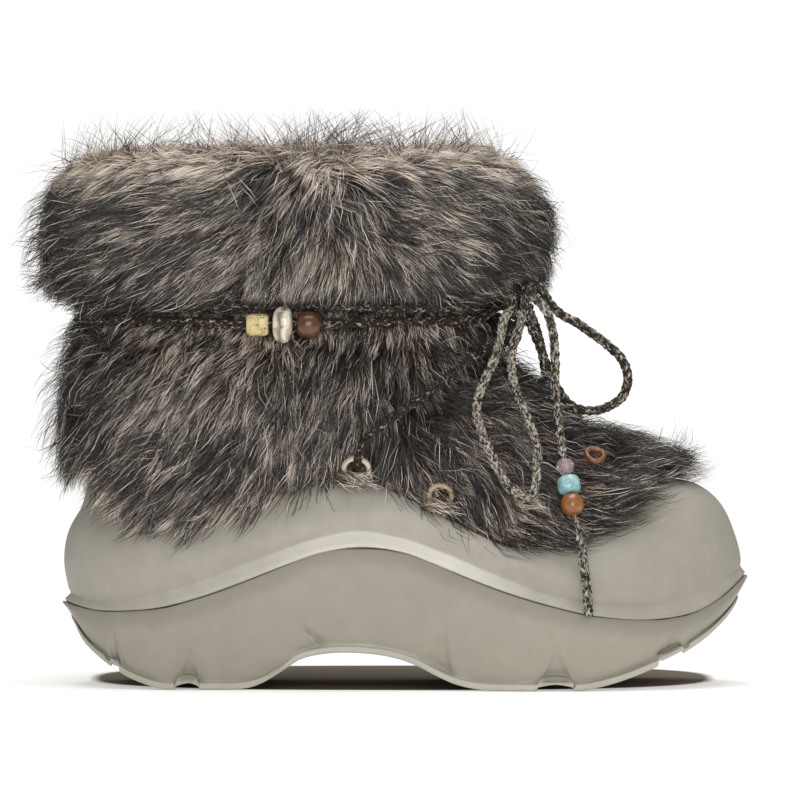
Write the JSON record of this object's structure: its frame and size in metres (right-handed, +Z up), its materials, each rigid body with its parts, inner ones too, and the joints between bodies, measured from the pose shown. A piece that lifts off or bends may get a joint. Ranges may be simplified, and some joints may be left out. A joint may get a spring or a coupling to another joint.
{
  "type": "snow boot",
  "caption": "Snow boot with a thick wavy moulded foam sole and galosh shell, a deep faux-fur shaft and vamp, and a braided lace wound round the ankle with a bow, beads and rings",
  "frame": {"origin": "on the floor, under the middle of the boot's box, free lace ends left out", "axes": "+X runs from heel to toe, +Y to the inner side, +Z up"},
  "size_m": [0.2988, 0.1306, 0.228],
  "materials": {
    "sole_foam": "moulded EVA foam, satin",
    "shell_foam": "moulded EVA foam, satin",
    "faux_fur": "deep acrylic faux fur, dark guard hairs over a pale undercoat",
    "insole_felt": "fleece-faced insole",
    "braided_cord": "braided wool-blend cord, dark brown with white flecks",
    "ring_cream": "polished resin",
    "ring_sand": "polished resin",
    "ring_brown": "polished resin",
    "bead_yellow": "pale yellow stone-look resin with dark cracks",
    "bead_striped": "glazed, striped grey, white and gold",
    "bead_dark_wood": "lacquered dark red-brown wood",
    "bead_crystal": "faceted pale pink crystal",
    "bead_turquoise": "turquoise stone look, polished",
    "bead_brown_wood": "lacquered brown wood",
    "bead_teal": "dark blue-green stone look, polished"
  },
  "bodies": {
    "root": {"sole": "sole_foam", "shell": "shell_foam", "fur_upper": "faux_fur", "insole": "insole_felt", "lace_wrap": "braided_cord", "bead_square": "bead_yellow", "bead_oval": "bead_striped", "bead_wood_wrap": "bead_dark_wood", "lace_side_lateral": "braided_cord", "lace_side_medial": "braided_cord", "ring_side_lateral": "ring_cream", "ring_side_medial": "ring_cream", "ring_vamp_lateral": "ring_sand", "ring_vamp_medial": "ring_sand", "ring_toe_lateral": "ring_brown", "ring_toe_medial": "ring_brown", "knot": "braided_cord", "bow_loop_side": "braided_cord", "bow_loop_hanging": "braided_cord", "lace_end_near": "braided_cord", "lace_end_near_thread": "braided_cord", "lace_end_near_tip": "braided_cord", "bead_crystal": "bead_crystal", "bead_turquoise": "bead_turquoise", "bead_wood": "bead_brown_wood", "lace_end_far": "braided_cord", "lace_end_far_thread": "braided_cord", "lace_end_far_tip": "braided_cord", "bead_teal": "bead_teal"}
  },
  "joints": []
}
